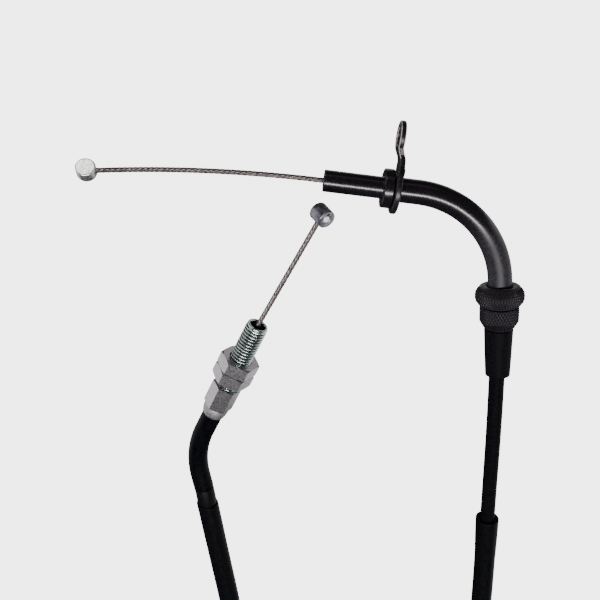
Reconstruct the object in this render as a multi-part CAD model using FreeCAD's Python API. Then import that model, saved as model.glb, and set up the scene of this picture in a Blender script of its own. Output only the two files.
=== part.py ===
"""Motorcycle throttle cable: elbow guide pipe, knurled adjuster, covered cable, and threaded carburettor end.

Frame, in millimetres: the origin is the centre of the guide pipe's mouth, +X runs along the straight
pipe into the part, and +Z is up. The cable lies on a flat surface at FLOOR.
"""
import FreeCAD
import Part
import math
import os

V = FreeCAD.Vector
OUT = "parts"
UP = V(0, 0, 1)
ALONG = V(1, 0, 0)
ORIGIN = V(0, 0, 0)

# ---- the surface that the cable lies on
FLOOR = -8.8

# ---- elbow guide pipe, at the throttle end
MOUTH_R = 3.7
PIPE_R = 4.2
PIPE_BORE_R = 2.5
PIPE_STRAIGHT = 32.2
BEND_R = 34.9
BEND_DEG = 79.0
COLLAR_START = 19.9
COLLAR_LENGTH = 3.3
COLLAR_R = 6.6
THREADED_END = 11.6
LINER_R = 2.4
LINER_BORE_R = 1.5
LINER_START = 3.0

# ---- retainer plate that turns on the guide pipe
PLATE_THICK = 1.9
PLATE_RING_R = 8.3
PLATE_HOLE_R = 4.28
PLATE_GAP = 0.2
EYE_DISTANCE = 17.2
EYE_R = 5.4
EYE_HOLE_R = 2.75
EAR_ROOT_WIDTH = 9.0
EAR_NECK_WIDTH = 5.8
EAR_DROOP_DEG = -10.5
EAR_JOGGLE = 0.55
EAR_BULGE = 0.75
BULGE_FROM = 2.6
BULGE_TO = 6.4
JOGGLE_FROM = 9.4
JOGGLE_TO = 14.0
EAR_NECK_AT = 11.8

# ---- knurled adjuster, measured down its own axis from the end of the elbow
LOCK_RING_FROM = 0.6
LOCK_RING_TO = 8.0
LOCK_RING_R = 8.65
LOCK_RING_ROUND = 2.2
LOCK_RING_TOP_FACE_R = 6.8
BARREL_FROM = 8.2
BARREL_TAPER = 13.7
BARREL_TO = 16.6
BARREL_R = 6.95
BARREL_END_R = 5.2
THREAD_CLEARANCE = 0.06
FERRULE_FROM = 12.0
FERRULE_TO = 19.4
FERRULE_R = 3.7
BOOT_FROM = 16.8
BOOT_TO = 35.2
BOOT_TOP_R = 5.15
BOOT_END_R = 4.35
BOOT_BORE_R = 3.15
BOOT_SOCKET_TO = 20.0
BOOT_SOCKET_R = 4.1

# ---- covered cable: jacket over steel conduit over liner over wire
JACKET_R = 2.85
JACKET_BORE_R = 2.2
CONDUIT_R = 2.1
CONDUIT_BORE_R = 1.55
TUBE_LINER_R = 1.45
TUBE_LINER_BORE_R = 1.15
WIRE_R = 0.9
SLEEVE_R = 4.2
SLEEVE_BORE_R = 3.3
SLEEVE_Z = FLOOR + SLEEVE_R
OVERLAP_IN_SLEEVE = 12.0
ARC_SHARE = 0.45

# ---- stored coil of sleeved cable
COIL_CENTRE = V(48.2, -237.0, 0)
COIL_R = 48.0
TIE_THICK = 0.7
TIE_WIDTH = 3.6
TIE_GAP = 0.1
COIL_HALF_WIDTH = SLEEVE_R + 0.1
COIL_BOTTOM = FLOOR + TIE_THICK
COIL_TOP = COIL_BOTTOM + 4.0 * SLEEVE_R + 0.7
TIE_DEGREES = {"coil_tie_a": -40.0, "coil_tie_b": -140.0}

# ---- carburettor end, measured down its own axis from the adjuster's mouth
CARB_MOUTH = V(-16.3, -51.69, 6.23)
CARB_HEADING_DEG = 18.4
CARB_RISE_DEG = 10.0
STUD_R = 4.0
STUD_BORE_R = 2.8
STUD_CHAMFER = 0.5
STUD_SEAT_R = 3.8
NUT_FLATS = 13.0
NUT_THICK = 4.85
NUT_CHAMFER_DEG = 30.0
UPPER_NUT_FROM = 15.7
NUT_SPACE = 0.2
UPPER_NUT_TURN_DEG = 58.5
LOWER_NUT_TURN_DEG = 61.0
HEX_FROM = 28.7
HEX_TO = 38.7
HEX_FLATS = 9.7
HEX_TURN_DEG = 57.5
TAIL_TO = 43.2
TAIL_R = 4.2
TAIL_SOCKET = 4.0
CARB_PIPE_R = 3.85
CARB_PIPE_BORE_R = 2.85
CARB_PIPE_BEND_R = 34.0
CARB_PIPE_END = V(-31.0, -128.0, -4.9)
CARB_SLEEVE_MOUTH = V(-28.9, -135.5, SLEEVE_Z)
CARB_LINER_R = 2.4
BUSH_R = 3.8
BUSH_GAP = 0.5
STUB_IN_SLEEVE = 6.0

# ---- inner wire and its two nipples
FREE_WIRE = 80.0
WIRE_DROP = V(0, -7.2, -4.2)
WIRE_STUB = 25.5
FIXED_WIRE_FROM = 30.0
THROTTLE_NIPPLE_R = 3.45
THROTTLE_NIPPLE_LENGTH = 5.4
THROTTLE_NIPPLE_TILT_DEG = 40.0
THROTTLE_NIPPLE_LEAN_DEG = 14.0
CARB_WIRE_LENGTH = 46.6
CARB_WIRE_HEADING_DEG = 21.1
CARB_WIRE_RISE_DEG = 9.5
CARB_WIRE_STUB = 5.0
CARB_FIXED_WIRE_FROM = 32.0
CARB_NIPPLE_R = 3.1
CARB_NIPPLE_HOLE_R = 1.25
CARB_NIPPLE_LENGTH = 6.0
CARB_NIPPLE_TILT_DEG = 50.0
NIPPLE_CHAMFER = 0.5
WIRE_HOLE_CLEARANCE = 0.05

# ---- routes of the covered cable, point by point
THROTTLE_SLEEVE_ROUTE = [
    V(84.9, -128.8, SLEEVE_Z),
    V(88.1, -148.6, SLEEVE_Z),
    V(91.2, -169.5, SLEEVE_Z),
    V(94.1, -192.0, SLEEVE_Z),
    V(95.8, -216.0, SLEEVE_Z + 0.4),
    V(96.2, -233.0, SLEEVE_Z + 0.8),
]
CARB_SLEEVE_ROUTE = [
    CARB_SLEEVE_MOUTH,
    V(-21.4, -162.8, SLEEVE_Z),
    V(-15.3, -184.0, -4.0),
    V(-9.6, -205.0, -0.9),
    V(-4.0, -227.0, 3.6),
    V(0.8, -245.0, 4.5),
]
HOUSING_TURN_AT = 40.0


def unit(vector):
    length = vector.Length
    return V(vector.x / length, vector.y / length, vector.z / length)


def heading(degrees, rise=0.0):
    """Direction at an angle from +Y towards +X, climbing by the given rise."""
    a = math.radians(degrees)
    b = math.radians(rise)
    return V(math.sin(a) * math.cos(b), math.cos(a) * math.cos(b), math.sin(b))


def rod(start, direction, length, radius):
    return Part.makeCylinder(radius, length, start, direction)


def pipe(start, direction, length, radius, bore):
    return rod(start, direction, length, radius).cut(rod(start, direction, length, bore))


def turned(start, direction, outline):
    """Solid of revolution: the outline lists (radius, distance along the axis)."""
    points = [V(r, 0, s) for r, s in outline]
    face = Part.Face(Part.makePolygon(points + [points[0]]))
    solid = face.revolve(ORIGIN, UP, 360)
    solid.Placement = FreeCAD.Placement(start, FreeCAD.Rotation(UP, direction))
    return solid


def hexagon(start, direction, length, flats, turn):
    """Hexagonal bar; turn is the angle of its corners about its axis."""
    corner = flats / math.sqrt(3.0)
    angles = [math.radians(60.0 * i + turn) for i in range(6)]
    points = [V(corner * math.cos(a), corner * math.sin(a), 0) for a in angles]
    bar = Part.Face(Part.makePolygon(points + [points[0]])).extrude(V(0, 0, length))
    bar.Placement = axis_placement(start, direction)
    return bar


def axis_placement(start, direction):
    """Placement with local Z along direction and local Y as near to +Z as it can be."""
    side = unit(direction.cross(UP))
    upward = unit(side.cross(direction))
    return FreeCAD.Placement(start, FreeCAD.Rotation(upward.cross(direction), upward, direction, "ZXY"))


def corner_arc(before, corner, after, radius):
    """The two ends and the middle of the arc that rounds a corner."""
    back = unit(before.sub(corner))
    ahead = unit(after.sub(corner))
    half = back.getAngle(ahead) / 2.0
    reach = radius / math.tan(half)
    inward = unit(back.add(ahead))
    middle = corner.add(inward * (radius / math.sin(half) - radius))
    return corner.add(back * reach), middle, corner.add(ahead * reach)


def largest_radius(before, corner, after):
    run = min(before.sub(corner).Length, after.sub(corner).Length)
    half_turn = (math.pi - before.sub(corner).getAngle(after.sub(corner))) / 2.0
    return ARC_SHARE * run / math.tan(half_turn)


def route(points, radius=None):
    """Straight runs joined by tangent arcs, as one wire."""
    edges = []
    at = points[0]
    radii = []
    for before, corner, after in zip(points, points[1:], points[2:]):
        r = radius or largest_radius(before, corner, after)
        first, middle, last = corner_arc(before, corner, after, r)
        edges.append(Part.LineSegment(at, first).toShape())
        edges.append(Part.Arc(first, middle, last).toShape())
        at = last
        radii.append(round(r, 1))
    edges.append(Part.LineSegment(at, points[-1]).toShape())
    return Part.Wire(edges), radii


def sweep(path, radius):
    start = path.Edges[0].valueAt(path.Edges[0].FirstParameter)
    tangent = path.Edges[0].tangentAt(path.Edges[0].FirstParameter)
    ring = Part.Wire([Part.Circle(start, tangent, radius).toShape()])
    return path.makePipeShell([ring], True, False)


def tube(name, points, radius, bore=None, bend=None):
    """Swept tube along a route; it prints its radii and how its volume compares."""
    path, radii = route(points, bend)
    solid = sweep(path, radius)
    area = math.pi * radius ** 2
    if bore:
        solid = solid.cut(sweep(path, bore))
        area -= math.pi * bore ** 2
    ratio = solid.Volume / (area * path.Length)
    print(f"{name}: length {path.Length:.1f}, radii {radii}, volume ratio {ratio:.4f}")
    return solid


# ---- lines that several pieces share

def bend_end():
    a = math.radians(BEND_DEG)
    return V(PIPE_STRAIGHT + BEND_R * math.sin(a), -BEND_R * (1.0 - math.cos(a)), 0)


def knob_direction():
    a = math.radians(-BEND_DEG)
    return V(math.cos(a), math.sin(a), 0)


def knob_point(distance):
    return bend_end().add(knob_direction() * distance)


def elbow_path(start, past_bend):
    """The guide pipe's centreline from a distance inside its mouth to one past the bend."""
    half = math.radians(BEND_DEG / 2.0)
    middle = V(PIPE_STRAIGHT + BEND_R * math.sin(half), -BEND_R * (1.0 - math.cos(half)), 0)
    bend = Part.Arc(V(PIPE_STRAIGHT, 0, 0), middle, bend_end()).toShape()
    first = Part.LineSegment(V(start, 0, 0), V(PIPE_STRAIGHT, 0, 0)).toShape()
    last = Part.LineSegment(bend_end(), knob_point(past_bend)).toShape()
    return Part.Wire([first, bend, last])


def housing_points(start):
    sleeve_run = unit(THROTTLE_SLEEVE_ROUTE[1].sub(THROTTLE_SLEEVE_ROUTE[0]))
    inside = THROTTLE_SLEEVE_ROUTE[0].add(sleeve_run * OVERLAP_IN_SLEEVE)
    return [knob_point(start), knob_point(HOUSING_TURN_AT), THROTTLE_SLEEVE_ROUTE[0], inside]


def carb_down():
    """Direction down the carburettor fitting, away from its mouth."""
    return heading(CARB_HEADING_DEG, CARB_RISE_DEG) * -1.0


def carb_point(distance):
    return CARB_MOUTH.add(carb_down() * distance)


def carb_wire_direction():
    return heading(CARB_WIRE_HEADING_DEG, CARB_WIRE_RISE_DEG)


# ---- throttle end

def guide_pipe():
    thin = rod(ORIGIN, ALONG, COLLAR_START, MOUTH_R)
    thick = sweep(elbow_path(COLLAR_START, THREADED_END), PIPE_R)
    return thin.fuse(thick).cut(sweep(elbow_path(0, THREADED_END), PIPE_BORE_R)).removeSplitter()


def guide_liner():
    path = elbow_path(LINER_START, THREADED_END)
    return sweep(path, LINER_R).cut(sweep(path, LINER_BORE_R))


def inner_wire_elbow():
    return sweep(elbow_path(FIXED_WIRE_FROM, THREADED_END), WIRE_R)


def pipe_collar():
    chamfer = 0.5
    end = COLLAR_START + COLLAR_LENGTH
    outline = [
        (PIPE_R, COLLAR_START),
        (COLLAR_R - chamfer, COLLAR_START),
        (COLLAR_R, COLLAR_START + chamfer),
        (COLLAR_R, end - chamfer),
        (COLLAR_R - chamfer, end),
        (PIPE_R, end),
    ]
    return turned(ORIGIN, ALONG, outline)


def plate_blank(start, thick):
    """Ring, tapering web and eye as one flat shape, before it is bent."""
    corners = [
        V(start, 0, -EAR_ROOT_WIDTH / 2.0),
        V(start, EAR_NECK_AT, -EAR_NECK_WIDTH / 2.0),
        V(start, EYE_DISTANCE, -EAR_NECK_WIDTH / 2.0),
        V(start, EYE_DISTANCE, EAR_NECK_WIDTH / 2.0),
        V(start, EAR_NECK_AT, EAR_NECK_WIDTH / 2.0),
        V(start, 0, EAR_ROOT_WIDTH / 2.0),
    ]
    web = Part.Face(Part.makePolygon(corners + [corners[0]])).extrude(ALONG * thick)
    ring = rod(V(start, 0, 0), ALONG, thick, PLATE_RING_R)
    eye = rod(V(start, EYE_DISTANCE, 0), ALONG, thick, EYE_R)
    return ring.fuse([web, eye]).removeSplitter()


def plate_bends(ring_x, thick, half_width):
    """Side view of the bent plate: out a little at the root of the ear, then back to the eye."""
    near = [
        (ring_x, -PLATE_RING_R),
        (ring_x, BULGE_FROM),
        (ring_x + EAR_BULGE, BULGE_TO),
        (ring_x + EAR_BULGE, JOGGLE_FROM),
        (ring_x - EAR_JOGGLE, JOGGLE_TO),
        (ring_x - EAR_JOGGLE, EYE_DISTANCE + EYE_R),
    ]
    far = [(x + thick, y) for x, y in reversed(near)]
    corners = [V(x, y, -half_width) for x, y in near + far]
    return Part.Face(Part.makePolygon(corners + [corners[0]])).extrude(UP * (2.0 * half_width))


def retainer_plate():
    ring_x = COLLAR_START + COLLAR_LENGTH + PLATE_GAP
    start = ring_x - EAR_JOGGLE
    deep = EAR_JOGGLE + EAR_BULGE + PLATE_THICK
    plate = plate_blank(start, deep).common(plate_bends(ring_x, PLATE_THICK, PLATE_RING_R))
    plate = plate.cut(rod(V(start, 0, 0), ALONG, deep, PLATE_HOLE_R))
    plate = plate.cut(rod(V(start, EYE_DISTANCE, 0), ALONG, deep, EYE_HOLE_R)).removeSplitter()
    plate.rotate(ORIGIN, ALONG, EAR_DROOP_DEG)
    return plate


def lock_ring():
    bore = PIPE_R + THREAD_CLEARANCE
    outline = [
        (bore, LOCK_RING_FROM),
        (LOCK_RING_TOP_FACE_R, LOCK_RING_FROM),
        (LOCK_RING_R, LOCK_RING_FROM + LOCK_RING_ROUND),
        (LOCK_RING_R, LOCK_RING_TO - LOCK_RING_ROUND),
        (BARREL_R, LOCK_RING_TO),
        (bore, LOCK_RING_TO),
    ]
    return turned(bend_end(), knob_direction(), outline)


def adjuster_barrel():
    thread_bore = PIPE_R + THREAD_CLEARANCE
    ferrule_bore = FERRULE_R + THREAD_CLEARANCE
    shoulder = THREADED_END + 0.2
    outline = [
        (thread_bore, BARREL_FROM),
        (BARREL_R, BARREL_FROM),
        (BARREL_R, BARREL_TAPER),
        (BARREL_END_R, BARREL_TO),
        (ferrule_bore, BARREL_TO),
        (ferrule_bore, shoulder),
        (thread_bore, shoulder),
    ]
    return turned(bend_end(), knob_direction(), outline)


def housing_ferrule():
    """Metal cap crimped on the end of the covered cable; its closed end has a hole for the wire."""
    cap = 1.0
    outline = [
        (LINER_BORE_R, FERRULE_FROM),
        (FERRULE_R, FERRULE_FROM),
        (FERRULE_R, FERRULE_TO),
        (JACKET_R + 0.05, FERRULE_TO),
        (JACKET_R + 0.05, FERRULE_FROM + cap),
        (LINER_BORE_R, FERRULE_FROM + cap),
    ]
    return turned(bend_end(), knob_direction(), outline)


def rubber_boot():
    lip = 0.4
    outline = [
        (BOOT_SOCKET_R, BOOT_FROM),
        (BOOT_TOP_R, BOOT_FROM),
        (BOOT_END_R, BOOT_TO - lip),
        (BOOT_END_R - lip, BOOT_TO),
        (BOOT_BORE_R, BOOT_TO),
        (BOOT_BORE_R, BOOT_SOCKET_TO),
        (BOOT_SOCKET_R, BOOT_SOCKET_TO),
    ]
    return turned(bend_end(), knob_direction(), outline)


# ---- covered cable

def housing_layers():
    points = housing_points(FERRULE_FROM + 1.1)
    return {
        "housing_jacket": tube("housing_jacket", points, JACKET_R, JACKET_BORE_R),
        "housing_conduit": tube("housing_conduit", points, CONDUIT_R, CONDUIT_BORE_R),
        "housing_liner": tube("housing_liner", points, TUBE_LINER_R, TUBE_LINER_BORE_R),
        "inner_wire_housing": tube("inner_wire_housing", points, WIRE_R),
    }


def cable_coil():
    """Outer shape of the tied coil, one and a half turns lying on each other."""
    height = COIL_TOP - COIL_BOTTOM
    base = V(COIL_CENTRE.x, COIL_CENTRE.y, COIL_BOTTOM)
    return pipe(base, UP, height, COIL_R + COIL_HALF_WIDTH, COIL_R - COIL_HALF_WIDTH)


def centred_box(width, depth, low, high):
    return Part.makeBox(width, depth, high - low, V(COIL_R - width / 2.0, -depth / 2.0, low))


def coil_tie(degrees):
    inner = 2.0 * (COIL_HALF_WIDTH + TIE_GAP)
    outer = inner + 2.0 * TIE_THICK
    band = centred_box(outer, TIE_WIDTH, FLOOR, COIL_TOP + TIE_GAP + TIE_THICK)
    band = band.cut(centred_box(inner, 2.0 * TIE_WIDTH, FLOOR + TIE_THICK - 0.01, COIL_TOP + TIE_GAP))
    band.rotate(ORIGIN, UP, degrees)
    band.translate(COIL_CENTRE)
    return band


# ---- carburettor end

def carb_adjuster():
    """Hollow threaded stud with a hexagonal body and a tapered tail, in one piece."""
    seat = UPPER_NUT_FROM - NUT_SPACE
    stud = turned(CARB_MOUTH, carb_down(), [
        (0, 0),
        (STUD_R - STUD_CHAMFER, 0),
        (STUD_R, STUD_CHAMFER),
        (STUD_R, seat),
        (STUD_SEAT_R, seat),
        (STUD_SEAT_R, HEX_FROM),
        (0, HEX_FROM),
    ])
    body = hexagon(carb_point(HEX_FROM), carb_down(), HEX_TO - HEX_FROM, HEX_FLATS, HEX_TURN_DEG)
    corner = HEX_FLATS / math.sqrt(3.0)
    shoulder = 0.9
    trim = turned(CARB_MOUTH, carb_down(), [
        (0, HEX_FROM),
        (corner - shoulder, HEX_FROM),
        (corner, HEX_FROM + shoulder / 2.0),
        (corner, HEX_TO - shoulder),
        (HEX_FLATS / 2.0, HEX_TO),
        (0, HEX_TO),
    ])
    tail = turned(CARB_MOUTH, carb_down(), [
        (0, HEX_TO),
        (HEX_FLATS / 2.0, HEX_TO),
        (TAIL_R + 0.55, (HEX_TO + TAIL_TO) / 2.0),
        (TAIL_R, TAIL_TO),
        (0, TAIL_TO),
    ])
    bore = rod(CARB_MOUTH, carb_down(), TAIL_TO - TAIL_SOCKET, STUD_BORE_R)
    socket = rod(carb_point(TAIL_TO - TAIL_SOCKET), carb_down(), TAIL_SOCKET, CARB_PIPE_R)
    return stud.fuse([body.common(trim), tail]).cut(bore).cut(socket).removeSplitter()


def lock_nut(start, turn):
    """Thin hexagonal nut, chamfered at both ends, running on the stud."""
    corner = NUT_FLATS / math.sqrt(3.0)
    rise = (corner - NUT_FLATS / 2.0) * math.tan(math.radians(NUT_CHAMFER_DEG))
    flat = NUT_FLATS / 2.0
    bar = hexagon(carb_point(start), carb_down(), NUT_THICK, NUT_FLATS, turn)
    trim = turned(carb_point(start), carb_down(), [
        (0, 0),
        (flat, 0),
        (corner, rise),
        (corner, NUT_THICK - rise),
        (flat, NUT_THICK),
        (0, NUT_THICK),
    ])
    bore = rod(carb_point(start), carb_down(), NUT_THICK, STUD_SEAT_R + THREAD_CLEARANCE)
    return bar.common(trim).cut(bore)


def carb_pipe_points(start=TAIL_TO - TAIL_SOCKET):
    """The pipe carries the fitting's axis on until it is level with its end, and bends there."""
    level_at = (CARB_MOUTH.z - CARB_PIPE_END.z) / math.sin(math.radians(CARB_RISE_DEG))
    return [carb_point(start), carb_point(level_at), CARB_PIPE_END]


def carb_end_pieces():
    run = unit(CARB_SLEEVE_MOUTH.sub(CARB_PIPE_END))
    bush_length = CARB_SLEEVE_MOUTH.sub(CARB_PIPE_END).Length - 2.0 * BUSH_GAP
    bush = pipe(CARB_PIPE_END.add(run * BUSH_GAP), run, bush_length, BUSH_R, JACKET_R + 0.1)
    jacket_length = CARB_SLEEVE_MOUTH.sub(CARB_PIPE_END).Length + STUB_IN_SLEEVE - BUSH_GAP
    jacket = pipe(CARB_PIPE_END.add(run * BUSH_GAP), run, jacket_length, JACKET_R, JACKET_BORE_R)
    return {
        "carb_adjuster": carb_adjuster(),
        "upper_lock_nut": lock_nut(UPPER_NUT_FROM, UPPER_NUT_TURN_DEG),
        "lower_lock_nut": lock_nut(UPPER_NUT_FROM + NUT_THICK + NUT_SPACE, LOWER_NUT_TURN_DEG),
        "carb_pipe": tube("carb_pipe", carb_pipe_points(), CARB_PIPE_R, CARB_PIPE_BORE_R, CARB_PIPE_BEND_R),
        "carb_pipe_liner": tube("carb_pipe_liner", carb_pipe_points(), CARB_LINER_R, LINER_BORE_R,
                                CARB_PIPE_BEND_R),
        "inner_wire_carb_pipe": tube("inner_wire_carb_pipe", carb_pipe_points(CARB_FIXED_WIRE_FROM), WIRE_R,
                                     None, CARB_PIPE_BEND_R),
        "pipe_end_bush": bush,
        "carb_housing_stub": jacket,
    }


# ---- inner wire and nipples

def bow_point(distance):
    """Point of the bowed free wire, a distance out from the mouth along its chord's X."""
    share = (distance / FREE_WIRE) ** 2
    return V(-distance, WIRE_DROP.y * share, WIRE_DROP.z * share)


def throttle_inner_wire():
    bow = Part.Arc(ORIGIN, bow_point(FREE_WIRE / 2.0), bow_point(FREE_WIRE)).toShape()
    stub = Part.LineSegment(V(WIRE_STUB, 0, 0), ORIGIN).toShape()
    return sweep(Part.Wire([stub, bow]), WIRE_R)


def throttle_nipple_axis():
    last = unit(bow_point(FREE_WIRE * 0.99).sub(bow_point(FREE_WIRE)))
    side = unit(UP.cross(last))
    upward = unit(last.cross(side))
    a = math.radians(THROTTLE_NIPPLE_TILT_DEG)
    b = math.radians(THROTTLE_NIPPLE_LEAN_DEG)
    return (upward * math.cos(a) + side * math.sin(a)) * math.cos(b) + last * math.sin(b)


def nipple(centre, axis, radius, length, bore):
    half = length / 2.0
    c = NIPPLE_CHAMFER
    return turned(centre, axis, [
        (bore, -half),
        (radius - c, -half),
        (radius, c - half),
        (radius, half - c),
        (radius - c, half),
        (bore, half),
    ])


def throttle_nipple():
    centre = bow_point(FREE_WIRE)
    body = nipple(centre, throttle_nipple_axis(), THROTTLE_NIPPLE_R, THROTTLE_NIPPLE_LENGTH, 0)
    toward_pipe = unit(bow_point(FREE_WIRE * 0.97).sub(centre))
    hole = rod(centre, toward_pipe, 2.0 * THROTTLE_NIPPLE_R, WIRE_R + WIRE_HOLE_CLEARANCE)
    return body.cut(hole)


def carb_nipple_centre():
    return CARB_MOUTH.add(carb_wire_direction() * CARB_WIRE_LENGTH)


def carb_nipple_axis():
    along = carb_wire_direction()
    side = unit(along.cross(UP))
    upward = unit(side.cross(along))
    a = math.radians(CARB_NIPPLE_TILT_DEG)
    return side * math.cos(a) + upward * math.sin(a)


def carb_inner_wire():
    start = CARB_MOUTH.sub(carb_wire_direction() * CARB_WIRE_STUB)
    length = CARB_WIRE_STUB + CARB_WIRE_LENGTH - CARB_NIPPLE_HOLE_R - 0.2
    return rod(start, carb_wire_direction(), length, WIRE_R)


def carb_nipple():
    centre = carb_nipple_centre()
    body = nipple(centre, carb_nipple_axis(), CARB_NIPPLE_R, CARB_NIPPLE_LENGTH, CARB_NIPPLE_HOLE_R)
    hole = rod(centre, carb_wire_direction() * -1.0, 2.0 * CARB_NIPPLE_R, WIRE_R + WIRE_HOLE_CLEARANCE)
    return body.cut(hole)


def all_pieces():
    pieces = {
        "guide_pipe": guide_pipe(),
        "guide_liner": guide_liner(),
        "inner_wire_elbow": inner_wire_elbow(),
        "pipe_collar": pipe_collar(),
        "retainer_plate": retainer_plate(),
        "lock_ring": lock_ring(),
        "adjuster_barrel": adjuster_barrel(),
        "housing_ferrule": housing_ferrule(),
        "rubber_boot": rubber_boot(),
        "sleeve_throttle_side": tube("sleeve_throttle_side", THROTTLE_SLEEVE_ROUTE, SLEEVE_R, SLEEVE_BORE_R),
        "sleeve_carb_side": tube("sleeve_carb_side", CARB_SLEEVE_ROUTE, SLEEVE_R, SLEEVE_BORE_R),
        "cable_coil": cable_coil(),
        "throttle_inner_wire": throttle_inner_wire(),
        "throttle_nipple": throttle_nipple(),
        "carb_inner_wire": carb_inner_wire(),
        "carb_nipple": carb_nipple(),
    }
    pieces.update(housing_layers())
    pieces.update(carb_end_pieces())
    for name, degrees in TIE_DEGREES.items():
        pieces[name] = coil_tie(degrees)
    return pieces


def main():
    os.makedirs(OUT, exist_ok=True)
    for name, shape in sorted(all_pieces().items()):
        solids = len(shape.Solids)
        box = shape.BoundBox
        print(f"{name}: solids {solids}, valid {shape.isValid()}, z {box.ZMin:.2f} to {box.ZMax:.2f}")
        shape.exportStep(os.path.join(OUT, name + ".step"))


main()
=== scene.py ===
"""Looks of a motorcycle throttle cable: camera, cords, metal, rubber and plastic pieces, and studio light.

Everything is in metres, in the part's own frame: the origin is the guide pipe's mouth and +Z is up.
"""

import bmesh
import bpy
import math
from mathutils import Matrix, Vector


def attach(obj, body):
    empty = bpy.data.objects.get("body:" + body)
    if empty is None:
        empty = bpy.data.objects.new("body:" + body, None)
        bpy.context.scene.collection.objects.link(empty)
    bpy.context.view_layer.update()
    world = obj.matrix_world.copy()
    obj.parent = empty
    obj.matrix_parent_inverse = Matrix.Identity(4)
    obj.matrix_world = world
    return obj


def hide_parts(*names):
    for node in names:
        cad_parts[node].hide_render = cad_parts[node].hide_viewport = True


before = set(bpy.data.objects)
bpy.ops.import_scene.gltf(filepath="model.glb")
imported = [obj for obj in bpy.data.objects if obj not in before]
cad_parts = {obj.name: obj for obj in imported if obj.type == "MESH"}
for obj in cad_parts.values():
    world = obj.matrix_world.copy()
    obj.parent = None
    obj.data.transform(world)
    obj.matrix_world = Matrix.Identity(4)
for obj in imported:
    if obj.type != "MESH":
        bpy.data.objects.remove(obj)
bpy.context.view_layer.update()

MM = 0.001
UP = Vector((0, 0, 1))


def mm(x, y, z):
    return Vector((x, y, z)) * MM


# ---------------------------------------------------------------- camera

FLOOR = -8.8
VIEW_TURN_DEG = 7.0
VIEW_LEAN_DEG = 19.0
VIEW_DISTANCE = 246.1
VIEW_TARGET = mm(-2.28, -45.92, FLOOR)
LENS_MM = 40.02
SENSOR_MM = 36.0


def make_camera():
    turn = math.radians(VIEW_TURN_DEG)
    lean = math.radians(VIEW_LEAN_DEG)
    image_up = Vector((-math.sin(turn), math.cos(turn), 0))
    away = image_up * math.sin(lean) + UP * math.cos(lean)
    side = image_up.cross(UP).normalized()
    top = away.cross(side).normalized()
    data = bpy.data.cameras.new("camera")
    data.lens = LENS_MM
    data.sensor_width = SENSOR_MM
    data.clip_start = 0.01
    camera = bpy.data.objects.new("camera", data)
    place = Matrix((side, top, away)).transposed().to_4x4()
    place.translation = VIEW_TARGET + away * VIEW_DISTANCE * MM
    camera.matrix_world = place
    bpy.context.scene.collection.objects.link(camera)
    bpy.context.scene.camera = camera


make_camera()

# ---------------------------------------------------------------- lines of the object

PIPE_STRAIGHT = 32.2
BEND_R = 34.9
BEND_DEG = 79.0
KNOB_AXIS = Vector((math.cos(math.radians(-BEND_DEG)), math.sin(math.radians(-BEND_DEG)), 0))
BEND_LENGTH = BEND_R * math.radians(BEND_DEG)
BEND_END = Vector((PIPE_STRAIGHT + BEND_R * math.sin(math.radians(BEND_DEG)),
                   -BEND_R * (1.0 - math.cos(math.radians(BEND_DEG))), 0))

SLEEVE_R = 4.2
SLEEVE_Z = FLOOR + SLEEVE_R
JACKET_R = 2.85
HOUSING_START = 13.1
HOUSING_TURN_AT = 40.0
OVERLAP_IN_SLEEVE = 12.0
THROTTLE_SLEEVE_ROUTE = [
    (84.9, -128.8, SLEEVE_Z),
    (88.1, -148.6, SLEEVE_Z),
    (91.2, -169.5, SLEEVE_Z),
    (94.1, -192.0, SLEEVE_Z),
    (95.8, -216.0, SLEEVE_Z + 0.4),
]
CARB_SLEEVE_ROUTE = [
    (-28.9, -135.5, SLEEVE_Z),
    (-21.4, -162.8, SLEEVE_Z),
    (-15.3, -184.0, -4.0),
    (-9.6, -205.0, -0.9),
    (-4.0, -227.0, 3.6),
]

COIL_CENTRE = (48.2, -237.0)
COIL_R = 48.0
COIL_FROM_DEG = -160.0
COIL_TO_DEG = 360.0
COIL_STEPS = 26
COIL_LOW = -3.8
COIL_HIGH = 4.8
DESCENT_FROM_DEG = 10.0
DESCENT_TO_DEG = 150.0
TIE_DEGREES = {"coil_tie_a": -40.0, "coil_tie_b": -140.0}

CARB_MOUTH = Vector((-16.3, -51.69, 6.23))
CARB_HEADING_DEG = 18.4
CARB_RISE_DEG = 10.0
CARB_WIRE_HEADING_DEG = 21.1
CARB_WIRE_RISE_DEG = 9.5


def heading(degrees, rise):
    a = math.radians(degrees)
    b = math.radians(rise)
    return Vector((math.sin(a) * math.cos(b), math.cos(a) * math.cos(b), math.sin(b)))


CARB_DOWN = -heading(CARB_HEADING_DEG, CARB_RISE_DEG)
CARB_WIRE = heading(CARB_WIRE_HEADING_DEG, CARB_WIRE_RISE_DEG)


def knob_point(distance):
    return BEND_END + KNOB_AXIS * distance


def carb_point(distance):
    return CARB_MOUTH + CARB_DOWN * distance


def smooth(share):
    share = min(1.0, max(0.0, share))
    return share * share * (3.0 - 2.0 * share)


# ---------------------------------------------------------------- cords

def nurbs(name, points, radius):
    """Open curve through a route of points, with a round section."""
    data = bpy.data.curves.new(name, "CURVE")
    data.dimensions = "3D"
    data.bevel_depth = 1.0
    data.bevel_resolution = 10
    data.resolution_u = 12
    data.use_fill_caps = True
    spline = data.splines.new("NURBS")
    spline.points.add(len(points) - 1)
    for control, point in zip(spline.points, points):
        control.co = (point[0] * MM, point[1] * MM, point[2] * MM, 1.0)
        control.radius = radius * MM
    spline.order_u = 3
    spline.use_endpoint_u = True
    obj = bpy.data.objects.new(name, data)
    bpy.context.scene.collection.objects.link(obj)
    return obj


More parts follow.
